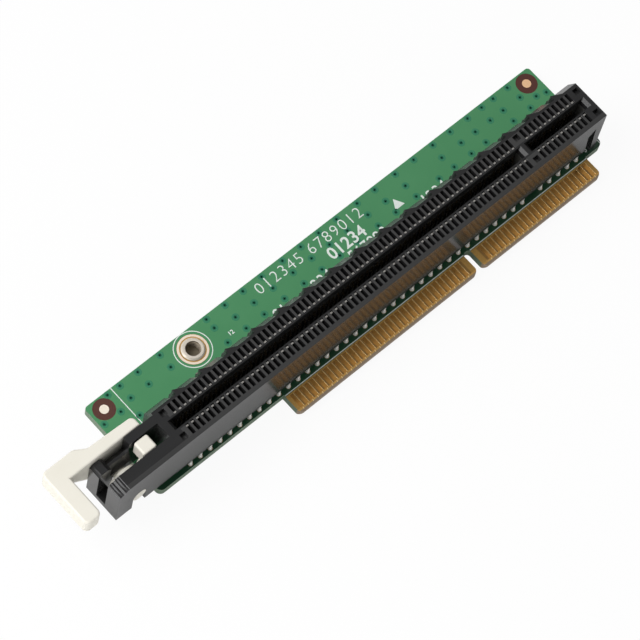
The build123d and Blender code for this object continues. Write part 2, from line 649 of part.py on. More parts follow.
def parts():
    """Every piece by its node name."""
    outer, inner = contact_places()
    low_mask, low_copper = board_bottom - MASK, board_bottom - COPPER
    half = INK_WIDTH / 2
    line_y = MASK_FRONT + INK_WIDTH
    divider = BOARD_LEFT + DIVIDER_INSET
    dots = [post(x, y, FIDUCIAL_DOT_RADIUS, 0, COPPER) for x, y in fiducials()]
    tick_x = BOARD_RIGHT - TICK_INSET
    tick_y = BOARD_FRONT + TICK_INSET
    return {
        "board": board(),
        "solder_mask_front": mask(0, MASK, FILLET_RADIUS + MASK_GAP),
        "solder_mask_back": mask(low_mask, board_bottom, JOINT_RADIUS + MASK_GAP),
        "edge_pads_front": edge_pads(0, COPPER),
        "edge_pads_back": edge_pads(low_copper, board_bottom),
        "connector_housing": housing(),
        "contacts_front_outer": contact_row(outer, OUTER_TAIL_Y, -1),
        "contacts_front_inner": contact_row(inner, INNER_TAIL_Y, -1),
        "contacts_back_outer": contact_row(outer, OUTER_TAIL_Y, 1),
        "contacts_back_inner": contact_row(inner, INNER_TAIL_Y, 1),
        "lead_fillets": lead_fillets(),
        "solder_joints": solder_joints(),
        "latch_lever": lever(),
        "threaded_nut": nut(),
        "nut_pad_front": nut_pad(0, COPPER),
        "nut_pad_back": nut_pad(low_copper, board_bottom),
        "fiducial_left": dots[0],
        "fiducial_right": dots[1],
        "plated_vias": via_barrels(),
        "print_line_left": printed_line(LEFT_TAB_START, left_tab_end, line_y - half, line_y + half),
        "print_line_right": printed_line(right_tab_start, RIGHT_TAB_END, line_y - half, line_y + half),
        "print_divider": printed_line(divider - half, divider + half, HOUSING_BACK, BOARD_BACK),
        "print_corner_tick": printed_line(tick_x - half, tick_x + half, tick_y, tick_y + TICK_LENGTH),
        "print_nut_ring": printed_ring(),
        "print_triangle": printed_triangle(),
    }


def main():
    os.makedirs("parts", exist_ok=True)
    for name, shape in parts().items():
        export_step(shape, f"parts/{name}.step")


main()
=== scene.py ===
"""Riser card: finishes, fine detail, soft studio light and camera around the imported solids."""

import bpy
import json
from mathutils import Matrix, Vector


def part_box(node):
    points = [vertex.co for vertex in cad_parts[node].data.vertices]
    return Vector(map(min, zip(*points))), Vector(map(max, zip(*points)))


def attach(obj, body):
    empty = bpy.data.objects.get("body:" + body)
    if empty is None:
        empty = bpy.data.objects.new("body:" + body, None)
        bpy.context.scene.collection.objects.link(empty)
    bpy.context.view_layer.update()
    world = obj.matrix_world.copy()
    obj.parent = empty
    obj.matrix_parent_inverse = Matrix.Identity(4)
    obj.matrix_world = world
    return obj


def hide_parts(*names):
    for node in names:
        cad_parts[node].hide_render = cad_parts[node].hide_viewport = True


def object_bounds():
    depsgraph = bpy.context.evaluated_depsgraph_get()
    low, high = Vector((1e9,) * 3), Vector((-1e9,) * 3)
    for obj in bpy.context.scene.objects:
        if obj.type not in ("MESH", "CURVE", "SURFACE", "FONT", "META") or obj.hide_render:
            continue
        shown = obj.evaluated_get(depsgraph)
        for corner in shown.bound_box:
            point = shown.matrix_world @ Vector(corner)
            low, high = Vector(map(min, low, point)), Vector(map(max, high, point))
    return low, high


bl_info = {
    "name": "Riser card looks",
    "version": (1, 0, 0),
    "blender": (4, 5, 0),
    "location": "View3D > Sidebar > Riser card",
    "description": "Dresses a riser card's solids with finishes, plating, print and studio light",
    "category": "Object",
}

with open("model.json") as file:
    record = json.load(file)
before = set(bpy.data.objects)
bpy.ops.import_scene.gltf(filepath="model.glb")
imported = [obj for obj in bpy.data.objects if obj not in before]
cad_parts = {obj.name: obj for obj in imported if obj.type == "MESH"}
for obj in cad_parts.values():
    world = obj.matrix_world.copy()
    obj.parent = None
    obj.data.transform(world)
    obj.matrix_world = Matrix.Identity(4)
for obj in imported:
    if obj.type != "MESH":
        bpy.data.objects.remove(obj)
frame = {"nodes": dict(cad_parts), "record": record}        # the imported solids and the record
cad_low, cad_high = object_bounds()

import json
from collections import namedtuple
from math import atan2, cos, pi, radians, sin

import bpy
from mathutils import Vector

MM = 0.001
CARD = "card"


# Shader arithmetic

class Wire:
    """A shader socket that takes part in sums, so that a pattern reads as one line."""

    def __init__(self, finish, socket):
        self.finish = finish
        self.socket = socket

    def _sum(self, operation, first, second):
        return self.finish.node("ShaderNodeMath", {"operation": operation}, {0: first, 1: second})

    def __add__(self, other):
        return self._sum("ADD", self, other)

    def __sub__(self, other):
        return self._sum("SUBTRACT", self, other)

    def __rsub__(self, other):
        return self._sum("SUBTRACT", other, self)

    def __mul__(self, other):
        return self._sum("MULTIPLY", self, other)

    __radd__ = __add__
    __rmul__ = __mul__

    def below(self, limit):
        """1 where the value is under the limit, else 0."""
        return self._sum("LESS_THAN", self, limit)

    def above(self, limit):
        """1 where the value is over the limit, else 0."""
        return self._sum("GREATER_THAN", self, limit)

    def within(self, low, high):
        """1 where the value lies between two limits, else 0."""
        return self.above(low) * self.below(high)

    def between(self, at_none, at_full):
        """Turns a share from 0 to 1 into a value from one number to another."""
        return self * (at_full - at_none) + at_none

    def size(self):
        """The value without its sign."""
        return self._sum("ABSOLUTE", self, 0)

    def wave(self):
        """Sine of the value in radians."""
        return self._sum("SINE", self, 0)

    def most(self, other):
        """The larger of two values."""
        return self._sum("MAXIMUM", self, other)


class Finish:
    """One finish: its material, its nodes and the shader they feed."""

    def __init__(self, name, **constants):
        self.material = bpy.data.materials.new(name)
        self.material.use_nodes = True
        self.nodes = self.material.node_tree.nodes
        self.links = self.material.node_tree.links
        self.shader = self.nodes["Principled BSDF"]
        self.set(**constants)
        self.place = self.node("ShaderNodeTexCoord", output="Object")

    def node(self, kind, settings=None, sockets=None, output=0):
        """Adds a node, with its settings first and then its sockets, and gives one output."""
        made = self.nodes.new(kind)
        for name, value in (settings or {}).items():
            setattr(made, name, value)
        for name, value in (sockets or {}).items():
            self.feed(made.inputs[name], value)
        return Wire(self, made.outputs[output])

    def feed(self, socket, value):
        """Links a wire to one socket, or sets the socket to a number or a colour."""
        if isinstance(value, Wire):
            self.links.new(value.socket, socket)
        elif socket.type == "RGBA":
            socket.default_value = (*value, 1)
        else:
            socket.default_value = value

    def set(self, **sockets):
        """Feeds the shader's own sockets."""
        for name, value in sockets.items():
            self.feed(self.shader.inputs[name.replace("_", " ")], value)

    def shifted(self, centre=(0, 0, 0), stretch=(1, 1, 1)):
        """Object coordinates from a centre, stretched."""
        moved = self.node("ShaderNodeVectorMath", {"operation": "SUBTRACT"}, {0: self.place, 1: centre})
        return self.node("ShaderNodeMapping", {}, {"Vector": moved, "Scale": stretch})

    def axis(self, letter, place=None):
        """One coordinate of a place."""
        return self.node("ShaderNodeSeparateXYZ", {}, {0: place or self.place}, output=letter)

    def radius(self, centre):
        """Distance from the upright line through a centre."""
        flat = self.shifted(centre, stretch=(1, 1, 0))
        return self.node("ShaderNodeVectorMath", {"operation": "LENGTH"}, {0: flat}, output="Value")

    def facing(self, letter):
        """How much a surface faces along one axis, from 0 to 1."""
        normal = self.node("ShaderNodeNewGeometry", output="Normal")
        return self.axis(letter, normal).size()

    def noise(self, grain, detail=2, rough=0.5, stretch=(1, 1, 1)):
        """Noise with features about one grain wide, in metres."""
        sockets = {"Vector": self.shifted(stretch=stretch), "Scale": 1 / grain}
        return self.node("ShaderNodeTexNoise", {}, {**sockets, "Detail": detail, "Roughness": rough})

    def cells(self, grain, stretch):
        """A random value in each cell about one grain wide."""
        sockets = {"Vector": self.shifted(stretch=stretch), "Scale": 1 / grain}
        return self.node("ShaderNodeTexVoronoi", {}, sockets, output="Color")

    def blend(self, share, first, second):
        """Mix of two colours by a share from 0 to 1."""
        sockets = {0: share, 6: first, 7: second}
        return self.node("ShaderNodeMix", {"data_type": "RGBA"}, sockets, output=2)

    def bump(self, height, depth, strength):
        """Surface relief, with its depth in metres."""
        sockets = {"Height": height, "Distance": depth, "Strength": strength}
        return self.node("ShaderNodeBump", {}, sockets)


# Finishes

FLAT = 0.9                  # facing over which a surface counts as square to an axis
FACE_DEPTH = 0.1 * MM       # depth down to which a point counts as on the board's face
CARD_EDGE = 0.2 * MM        # how far the card edge's tones reach past the fingers' ends
BORE_MARGIN = 0.02 * MM     # how far the bore's tone reaches outside the bore


def laminate_finish(colours):
    """Bare glass laminate: amber weave on the faces, painted shade between the fingers, cloth layers on the
    cut edges.
    """
    finish = Finish("laminate", IOR=1.5)
    along, across, up = (finish.axis(letter) for letter in "XYZ")
    warp = (along * (2 * pi / colours.weave)).wave()
    weft = (across * (2 * pi / colours.weave)).wave()
    layers = (up * (2 * pi / colours.cloth_layer) + finish.noise(0.6 * MM) * 3).wave()
    edge = 1 - finish.facing("Z").above(FLAT)
    grain = finish.noise(0.35 * MM, detail=4)

    low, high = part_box("edge_pads_front")
    left_tab = along.within(low.x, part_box("print_line_left")[1].x - MM)
    right_tab = along.within(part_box("print_line_right")[0].x + MM, high.x)
    between_fingers = left_tab.most(right_tab) * across.within(low.y, high.y)
    face = finish.blend(grain, colours.laminate_dark, colours.laminate_light)
    # Painted shade: the laminate between the fingers is darkened for the housing's shadow.
    face = finish.blend(between_fingers, face, colours.laminate_between_shaded)

    card_edge = across.below(low.y + CARD_EDGE)
    side = finish.blend(layers * 0.5 + 0.5, colours.edge_dark, colours.edge_light)
    side = finish.blend(card_edge, side, face)
    side = finish.blend(card_edge * up.below(-colours.bevel_clear), side, colours.bevel_cut)
    tone = finish.blend(edge, face, side)
    for node in ("fiducial_left", "fiducial_right"):
        window = finish.radius(middle(node)).below(colours.fiducial_window) * up.above(-FACE_DEPTH)
        tone = finish.blend(window, tone, colours.fiducial_ground)

    relief = warp * weft * (1 - edge) + layers * edge * 0.6 + grain * 0.4
    finish.set(Base_Color=tone, Roughness=grain.between(0.42, 0.62),
               Normal=finish.bump(relief, 0.01 * MM, strength=0.5))
    return finish.material


def mask_finish(colours):
    """Green solder mask: a glossy coat, paler in clouds, with painted shade on the strip along the front
    leads.
    """
    finish = Finish("solder_mask", IOR=1.5)
    cloud = finish.noise(6 * MM, detail=3)
    fine = finish.noise(0.25 * MM, detail=3, rough=0.6)
    orange_peel = finish.noise(0.5 * MM)
    lead_field = finish.axis("Y").below(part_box("lead_fillets")[0].y + colours.lead_field)
    tone = finish.blend(cloud, colours.mask_deep, colours.mask_light)
    tone = finish.blend(fine * colours.fleck_share, tone, colours.mask_fleck)
    # Painted shade: the strip along the front leads is darkened for the housing's shadow.
    tone = finish.blend(lead_field * colours.painted_shade_share, tone, colours.mask_painted_shade)
    finish.set(Base_Color=tone, Roughness=fine.between(0.16, 0.28),
               Normal=finish.bump(orange_peel + fine * 0.4, 0.006 * MM, strength=0.5))
    return finish.material


def via_pad_finish(colours):
    """Mask over a round copper pad: deeper and cooler green."""
    finish = Finish("via_pad", IOR=1.5)
    fine = finish.noise(0.2 * MM, detail=3)
    finish.set(Base_Color=finish.blend(fine, colours.via_deep, colours.via_light),
               Roughness=fine.between(0.16, 0.28), Normal=finish.bump(fine, 0.005 * MM, strength=0.4))
    return finish.material


def coated_via_finish(colours):
    """Mask drawn down into a plated hole."""
    finish = Finish("coated_via", IOR=1.5)
    fine = finish.noise(0.12 * MM, detail=3)
    finish.set(Base_Color=finish.blend(fine, colours.hole_deep, colours.hole_light),
               Roughness=fine.between(0.2, 0.4), Normal=finish.bump(fine, 0.006 * MM, strength=0.5))
    return finish.material


def gold_finish(colours):
    """Hard gold plating with faint wiping marks along the card's travel."""
    finish = Finish("gold_plating", Metallic=1)
    wipe = finish.noise(0.12 * MM, detail=3, rough=0.6, stretch=(1, 0.08, 1))
    cloud = finish.noise(1.5 * MM, detail=3)
    finish.set(Base_Color=finish.blend(cloud, colours.gold_deep, colours.gold_light),
               Roughness=0.1 + wipe * 0.1 + cloud * 0.06,
               Normal=finish.bump(wipe, 0.004 * MM, strength=0.5))
    return finish.material


def rim_highlight_finish(colours):
    """Pale gold on the raised rim of a finger and on the plating stubs, paler than its face and only part
    metallic: a painted highlight that stays bright in any light.
    """
    finish = Finish("finger_rim", Metallic=0.4)
    rub = finish.noise(0.2 * MM, detail=3, rough=0.6)
    finish.set(Base_Color=finish.blend(rub, colours.rim_highlight_bright, colours.rim_highlight_rubbed),
               Roughness=rub.between(0.2, 0.4), Normal=finish.bump(rub, 0.004 * MM, strength=0.4))
    return finish.material


def moulding_finish(colours):
    """Black moulding: fine spark texture, soft flow clouds, a painted sheen on the tops of the ribs and rail,
    and painted light inside the slot.
    """
    finish = Finish("black_moulding", IOR=1.4)
    along, across, up = (finish.axis(letter) for letter in "XYZ")
    from_middle = across.size()
    top = finish.facing("Z").above(FLAT)
    low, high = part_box("contacts_front_outer")
    texture = finish.noise(0.09 * MM, detail=4, rough=0.65)
    flow = finish.noise(3.5 * MM, detail=3, rough=0.55, stretch=(0.25, 1, 1))
    contact_rows = along.within(low.x - MM, high.x + MM)
    ribs = from_middle.within(colours.rib_inner, colours.rib_outer) * top * contact_rows
    front_rail = across.below(-colours.rib_outer) * top
    in_slot = from_middle.below(colours.slot_side) * up.below(colours.slot_shade)
    in_slot = in_slot * along.above(low.x - MM)
    tone = finish.blend(flow * 0.6 + texture * 0.4, colours.moulding_dark, colours.moulding_light)
    # Painted sheen: the tops of the ribs and the front rail are lighter, standing in for highlights.
    tone = finish.blend(ribs * colours.rib_sheen_share, tone, colours.rib_painted_sheen)
    tone = finish.blend(front_rail * colours.rail_sheen_share, tone, colours.rib_painted_sheen)
    # Painted light: the moulding inside the slot is lighter, standing in for a haze of light there.
    tone = finish.blend(in_slot, tone, colours.slot_painted_light)
    finish.set(Base_Color=tone, Roughness=colours.moulding_gloss + texture * 0.1 + flow * 0.05,
               Normal=finish.bump(texture, 0.006 * MM, strength=0.35))
    return finish.material


def tinned_finish(colours):
    """Bright tin over stamped metal: dipped leads below, near-white and part metallic as a painted highlight,
    and gold on the bumps in the slot darkened as painted shade.
    """
    finish = Finish("tinned_contact")
    grain = finish.noise(0.05 * MM, detail=3, rough=0.6, stretch=(1, 0.3, 0.12))
    each_strip = finish.cells(MM, stretch=(1, 0.01, 0.01))
    up = finish.axis("Z")
    lead = up.below(colours.lead_top)
    in_slot = finish.axis("Y").size().below(colours.slot_side) * up.below(colours.slot_shade)
    tone = finish.blend(each_strip, colours.tin_bright, colours.tin_dull)
    # Partly painted highlight: the tin-dipped leads are near-white and only part metallic, so they stay
    # bright in the housing's shade.
    tone = finish.blend(lead, tone, colours.lead_bright)
    # Painted shade: the gold contact bumps inside the slot are darkened.
    tone = finish.blend(in_slot, tone, colours.bump_gold_shaded)
    finish.set(Base_Color=tone, Metallic=lead.between(1, colours.lead_metallic),
               Roughness=grain.between(0.16, 0.36), Normal=finish.bump(grain, 0.004 * MM, strength=0.4))
    return finish.material


def solder_finish(colours):
    """Solder: wetted, with a faint frost and small ripples; near-white and only part metallic, a painted
    highlight that keeps it bright in shade.
    """
    finish = Finish("solder", Metallic=0.4)
    frost = finish.noise(0.08 * MM, detail=4, rough=0.7)
    ripple = finish.noise(0.35 * MM)
    finish.set(Base_Color=finish.blend(frost, colours.solder_bright, colours.solder_frost),
               Roughness=frost.between(0.14, 0.4),
               Normal=finish.bump(ripple + frost * 0.3, 0.02 * MM, strength=0.6))
    return finish.material


def ivory_finish(colours):
    """Ivory moulding of the lever: satin, a little warm, with a very fine texture."""
    finish = Finish("ivory_moulding", IOR=1.48)
    texture = finish.noise(0.14 * MM, detail=4, rough=0.6)
    cloud = finish.noise(4 * MM)
    specks = finish.noise(0.5 * MM, detail=1).above(0.78)
    tone = finish.blend(cloud, colours.ivory_warm, colours.ivory_light)
    tone = finish.blend(specks * colours.speck_share, tone, colours.ivory_speck)
    finish.set(Base_Color=tone, Roughness=texture.between(0.4, 0.58),
               Normal=finish.bump(texture, 0.006 * MM, strength=0.4))
    return finish.material


def nut_finish(colours):
    """Tin-plated nut with turning marks round its own axis and painted shade in its bore."""
    # Only part metallic, so the pale plating reads bright in low light as painted brightness.
    finish = Finish("nut_metal", Metallic=0.35)
    radius = finish.radius(middle("threaded_nut"))
    wobble = finish.noise(0.5 * MM) * (0.03 * MM)
    turning = ((radius + wobble) * (2 * pi / colours.turning)).wave()
    stain = finish.noise(0.45 * MM, detail=4, rough=0.65)
    bore = radius.below(bore_radius() + BORE_MARGIN)
    tone = finish.blend(stain, colours.nut_light, colours.nut_stain)
    tone = finish.blend((turning * 0.5 + 0.5) * colours.groove_share, tone, colours.nut_groove)
    # Painted shade: the inside of the bore is darkened.
    tone = finish.blend(bore * colours.bore_shade_share, tone, colours.nut_bore_shade)
    finish.set(Base_Color=tone, Roughness=stain.between(0.26, 0.52),
               Normal=finish.bump(turning * 0.5 + stain, 0.012 * MM, strength=0.6))
    return finish.material


def copper_finish(colours):
    """Bare copper, slightly mottled and only part metallic, paling towards the left end as a painted
    reflection.
    """
    finish = Finish("bare_copper", Metallic=0.2)
    mottle = finish.noise(0.3 * MM, detail=4, rough=0.6)
    rightwards = (finish.axis("X") - cad_low.x) * (1 / (cad_high.x - cad_low.x))
    copper = finish.blend(mottle, colours.copper_light, colours.copper_deep)
    # Painted reflection: the copper pales from the right end to the left end.
    finish.set(Base_Color=finish.blend(rightwards, colours.copper_reflection_pale, copper),
               Roughness=mottle.between(0.34, 0.54),
               Normal=finish.bump(mottle, 0.005 * MM, strength=0.4))
    return finish.material


def ink_finish(colours):
    """White printing ink: chalky, thinner in places."""
    finish = Finish("white_ink", IOR=1.5)
    patch = finish.noise(0.22 * MM, detail=4, rough=0.6)
    finish.set(Base_Color=finish.blend(patch, colours.ink_thick, colours.ink_thin),
               Roughness=patch.between(0.55, 0.75), Normal=finish.bump(patch, 0.004 * MM, strength=0.5))
    return finish.material


# Frame and mesh helpers

def middle(node):
    """Centre of a CAD node's box."""
    low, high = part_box(node)
    return (low + high) / 2


def bore_radius():
    """Radius of the nut's bore, from the record's mount."""
    mount = next(m for m in frame["record"]["mounts"] if m["name"] == "nut_thread")
    return mount["dims"]["r_mm"] * MM


def pick(*pieces):
    """Selects only these pieces and makes the first one active."""
    if bpy.context.object and bpy.context.object.mode != "OBJECT":
        bpy.ops.object.mode_set(mode="OBJECT")
    bpy.ops.object.select_all(action="DESELECT")
    for piece in pieces:
        piece.select_set(True)
    bpy.context.view_layer.objects.active = pieces[0]


def modify(piece, kind, **settings):
    """Adds one modifier with its settings and applies it."""
    pick(piece)
    modifier = piece.modifiers.new(kind.title(), kind)
    for name, value in settings.items():
        setattr(modifier, name, value)
    bpy.ops.object.modifier_apply(modifier=modifier.name)


def outward(piece):
    """Merges a piece's doubles and turns its faces outwards."""
    pick(piece)
    bpy.ops.object.mode_set(mode="EDIT")
    bpy.ops.mesh.select_all(action="SELECT")
    bpy.ops.mesh.remove_doubles(threshold=1e-7)
    bpy.ops.mesh.normals_make_consistent(inside=False)
    bpy.ops.object.mode_set(mode="OBJECT")


def place(piece):
    """Moves a piece's place, turn and scale into its mesh."""
    pick(piece)
    bpy.ops.object.transform_apply(location=True, rotation=True, scale=True)


def repeat(piece, offsets):
    """Copies a placed piece by each offset and joins the copies in its stead."""
    copies = []
    for offset in offsets:
        copy = piece.copy()
        copy.data = piece.data.copy()
        bpy.context.scene.collection.objects.link(copy)
        copy.location = offset
        copies.append(copy)
    bpy.data.objects.remove(piece)
    pick(*copies)
    bpy.ops.object.join()
    place(copies[0])
    return copies[0]


def merged_copy(node):
    """A free copy of a CAD node with its doubles merged, left selected."""
    copy = bpy.data.objects.new(node + "_copy", frame["nodes"][node].data.copy())
    bpy.context.scene.collection.objects.link(copy)
    outward(copy)
    return copy


def solid_centres(node):
    """Middle of each loose piece of a CAD node, found from a merged copy."""
    merged_copy(node)
    bpy.ops.object.mode_set(mode="EDIT")
    bpy.ops.mesh.separate(type="LOOSE")
    bpy.ops.object.mode_set(mode="OBJECT")
    centres = []
    for piece in list(bpy.context.selected_objects):
        corners = [Vector(corner) for corner in piece.bound_box]
        centres.append(sum(corners, Vector()) / len(corners))
        bpy.data.objects.remove(piece)
    return sorted(centres, key=lambda centre: (round(centre.x, 5), centre.y))


def hand_over(piece, name, material):
    """Names a finished piece, gives it its finish and lets it ride on the card."""
    piece.name = name
    piece.data.name = name
    piece.data.materials.clear()
    piece.data.materials.append(material)
    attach(piece, CARD)


def paint(nodes, material):
    """Gives CAD nodes a finish."""
    for name in nodes:
        mesh = frame["nodes"][name].data
        mesh.materials.clear()
        mesh.materials.append(material)


# Sizes and colours

def length(name, value, description):
    """A length in metres that a user may change."""
    return bpy.props.FloatProperty(name=name, description=description, default=value, unit="LENGTH",
                                   min=0, precision=5)


def colour(name, value, description):
    """A linear colour that a user may change."""
    return bpy.props.FloatVectorProperty(name=name, description=description, default=value,
                                         subtype="COLOR", min=0, max=1, size=3)


def share(name, value, description):
    """A share from 0 to 1 that a user may change."""
    return bpy.props.FloatProperty(name=name, description=description, default=value, subtype="FACTOR",
                                   min=0, max=1)


def spot(name, value, description):
    """A place in metres that a user may change."""
    return bpy.props.FloatVectorProperty(name=name, description=description, default=value,
                                         subtype="TRANSLATION", unit="LENGTH")


def power(name, value, description):
    """A lamp's power in watts that a user may change."""
    return bpy.props.FloatProperty(name=name, description=description, default=value, unit="POWER",
                                   min=0)


class RiserFinishes(bpy.types.PropertyGroup):
    """Colours and grain sizes of the card's finishes."""

    weave: length("Weave", 0.5 * MM, "Pitch of the glass weave in the laminate")
    cloth_layer: length("Cloth layer", 0.2 * MM, "Thickness of one cloth layer on a cut edge")
    laminate_dark: colour("Laminate, dark", (0.36, 0.19, 0.035), "Laminate where the weave is dense")
    laminate_light: colour("Laminate, light", (0.62, 0.37, 0.10), "Laminate where the weave is open")
    # Painted shade: darker laminate between the fingers, for the housing's shadow.
    laminate_between_shaded: colour("Laminate, between", (0.30, 0.16, 0.04), "Laminate between the fingers")
    bevel_cut: colour("Bevel", (0.27, 0.20, 0.135), "Laminate cut by the bevel under the fingers")
    bevel_clear: length("Bevel clear depth", 0.16 * MM, "Depth where the bevel has the face's colour")
    edge_dark: colour("Cut edge, dark", (0.10, 0.15, 0.095), "Resin layers on a cut edge")
    edge_light: colour("Cut edge, light", (0.19, 0.26, 0.18), "Cloth layers on a cut edge")
    fiducial_window: length("Fiducial window", 1.95 * MM, "Radius of the bare window at a fiducial mark")
    fiducial_ground: colour("Fiducial ground", (0.085, 0.024, 0.016), "Laminate in that window")

    mask_deep: colour("Mask, deep", (0.058, 0.25, 0.108), "Green coat where it is thick")
    mask_light: colour("Mask, light", (0.080, 0.285, 0.13), "Green coat where it is thin")
    mask_fleck: colour("Mask, flecks", (0.09, 0.29, 0.10), "Fine flecks in the green coat")
    fleck_share: share("Fleck share", 0.25, "How strongly the flecks show")
    # Painted shade on the mask along the front leads, beside the housing.
    mask_painted_shade: colour("Mask, painted shade", (0.010, 0.040, 0.020), "Green coat along the front leads")
    painted_shade_share: share("Painted shade share", 0.92, "How strongly the strip along the front leads shows")
    lead_field: length("Lead field", 2.0 * MM, "Depth of the strip behind the front leads' ends")
    via_deep: colour("Via pad, deep", (0.032, 0.205, 0.105), "Green coat over a round copper pad")
    via_light: colour("Via pad, light", (0.048, 0.245, 0.13), "Thin green coat over a round copper pad")
    hole_deep: colour("Via hole, deep", (0.004, 0.09, 0.045), "Green coat in a plated hole")
    hole_light: colour("Via hole, light", (0.01, 0.14, 0.075), "Thin green coat in a plated hole")

    gold_deep: colour("Gold, deep", (0.88, 0.42, 0.09), "Plating where it is thin")
    gold_light: colour("Gold, light", (0.98, 0.53, 0.15), "Plating where it is thick")
    # Painted highlight: pale gold on the finger rims and plating stubs.
    rim_highlight_bright: colour("Finger rim, bright", (1.0, 0.76, 0.38), "Painted highlight on the rim of a finger")
    rim_highlight_rubbed: colour("Finger rim, worn", (0.95, 0.64, 0.28), "Rim of a finger where it is rubbed")

    moulding_dark: colour("Moulding, dark", (0.012, 0.012, 0.012), "Black moulding")
    moulding_light: colour("Moulding, light", (0.030, 0.030, 0.031), "Moulding where its fibres show")
    moulding_gloss: share("Moulding roughness", 0.12, "Roughness of the black moulding")
    # Painted sheen on the tops of the ribs and the front rail.
    rib_painted_sheen: colour("Rib painted sheen", (0.075, 0.075, 0.074), "Moulding painted paler on its top as a sheen")
    rib_sheen_share: share("Rib painted sheen share", 0.5, "How strongly the painted sheen shows on the ribs")
    rail_sheen_share: share("Rail painted sheen share", 0.35, "How strongly the painted sheen shows on the front rail")
    rib_inner: length("Rib inner side", 1.2 * MM, "Where the ribs begin beside the slot")
    rib_outer: length("Rib outer side", 3.0 * MM, "Where the ribs end at the rails")
    # Painted light inside the card slot.
    slot_painted_light: colour("Slot, painted light", (0.075, 0.075, 0.07), "Moulding inside the card slot, lightened as painted light")
    slot_side: length("Slot side", 1.15 * MM, "Distance from the middle that counts as in the slot")
    slot_shade: length("Slot shade", 9.6 * MM, "Height below which the slot gets painted light and its contact bumps painted shade")

    tin_bright: colour("Tin, bright", (0.86, 0.83, 0.79), "Tin on the brightest contacts")
    tin_dull: colour("Tin, dull", (0.72, 0.69, 0.64), "Tin on the dullest contacts")
    # Gold of the contact bumps, darkened as painted shade.
    bump_gold_shaded: colour("Contact bump", (0.30, 0.25, 0.17), "Gold on the contact bumps in the slot, darkened as painted shade")
    lead_top: length("Lead top", 2.0 * MM, "Height below which the contacts are solder-dipped leads")
    # Tin-dipped leads, near-white and part metallic as a painted highlight.
    lead_bright: colour("Leads", (0.98, 0.96, 0.92), "Solder-dipped leads")
    lead_metallic: share("Lead metal", 0.35, "How metallic the solder-dipped leads look")
    # Solder colours, near-white and part metallic as a painted highlight.
    solder_bright: colour("Solder, bright", (1.0, 0.99, 0.96), "Wetted solder")
    solder_frost: colour("Solder, frosted", (0.94, 0.93, 0.90), "Solder where it is frosted")

    nut_light: colour("Nut, light", (1.0, 0.95, 0.86), "Tin plating of the nut")
    nut_stain: colour("Nut, stained", (0.78, 0.69, 0.57), "Tin plating of the nut where it is stained")
    nut_groove: colour("Nut, grooves", (0.50, 0.42, 0.32), "Turning marks on the nut")
    groove_share: share("Groove share", 0.45, "How strongly the turning marks show")
    # Painted shade inside the nut's bore.
    nut_bore_shade: colour("Nut, bore", (0.20, 0.15, 0.09), "Inside of the nut's bore")
    bore_shade_share: share("Bore share", 0.75, "How strongly the bore's tone shows")
    turning: length("Turning marks", 0.17 * MM, "Pitch of the turning marks on the nut")
    copper_light: colour("Copper, light", (1.0, 0.66, 0.38), "Bare copper")
    copper_deep: colour("Copper, deep", (0.88, 0.50, 0.27), "Bare copper where it has dulled")
    # Painted reflection on the copper at the left end.
    copper_reflection_pale: colour("Copper, pale", (0.98, 0.93, 0.84), "Copper paled at the left end as a painted reflection")

    ivory_warm: colour("Ivory, warm", (0.78, 0.75, 0.655), "Lever moulding")
    ivory_light: colour("Ivory, light", (0.83, 0.80, 0.72), "Lever moulding in its paler clouds")
    ivory_speck: colour("Ivory, specks", (0.55, 0.48, 0.38), "Small dark specks in the lever moulding")
    speck_share: share("Speck share", 0.12, "How strongly the specks show")
    ink_thick: colour("Ink, thick", (0.90, 0.92, 0.90), "White ink where it covers")
    ink_thin: colour("Ink, thin", (0.66, 0.78, 0.70), "White ink where the mask shows through")


class RiserDetail(bpy.types.PropertyGroup):
    """Sizes of the fine detail that is added to the solids."""

    pad_pitch: length("Finger pitch", 1.0 * MM, "Distance from one edge finger to the next")
    pad_width: length("Finger width", 0.7 * MM, "Width of one edge finger")
    rim_width: length("Rim width", 0.09 * MM, "Width of the rounded rim along a finger's side")
    rim_height: length("Rim height", 0.05 * MM, "Height of the rounded rim")
    rim_rounding: length("Rim rounding", 0.02 * MM, "How far the rim's ends are rounded back")
    stub_width: length("Stub width", 0.14 * MM, "Width of the plating stub beyond each finger")
    stub_length: length("Stub length", 0.36 * MM, "Length of the plating stub on the bevel")
    stub_height: length("Stub height", 0.02 * MM, "Thickness of a plating stub")
    stub_rounding: length("Stub rounding", 0.006 * MM, "How far a plating stub's edges are cut back")
    bevel_length: length("Bevel length", 0.55 * MM, "Length of the bevelled card edge")
    bevel_depth: length("Bevel depth", 0.35 * MM, "Depth of the bevel on each face")
    via_pad_radius: length("Via pad radius", 0.63 * MM, "Outer radius of the coated pad round a via")
    via_pad_height: length("Via pad height", 0.02 * MM, "How proud a coated pad stands")
    via_pad_rounding: length("Via pad rounding", 0.012 * MM, "How far a coated pad's edges are cut back")
    via_mouth: length("Via mouth", 0.3 * MM, "Radius of the dimple in a coated via")
    thread_pitch: length("Thread pitch", 0.35 * MM, "Pitch of the nut's thread")
    thread_depth: length("Thread depth", 0.16 * MM, "Depth of the nut's thread")
    moulded_edge: length("Moulded edge", 0.06 * MM, "How far the housing's sharp edges are rounded back")
    number_height: length("Number height", 0.035 * MM, "Thickness of the digits, which cover via pads")


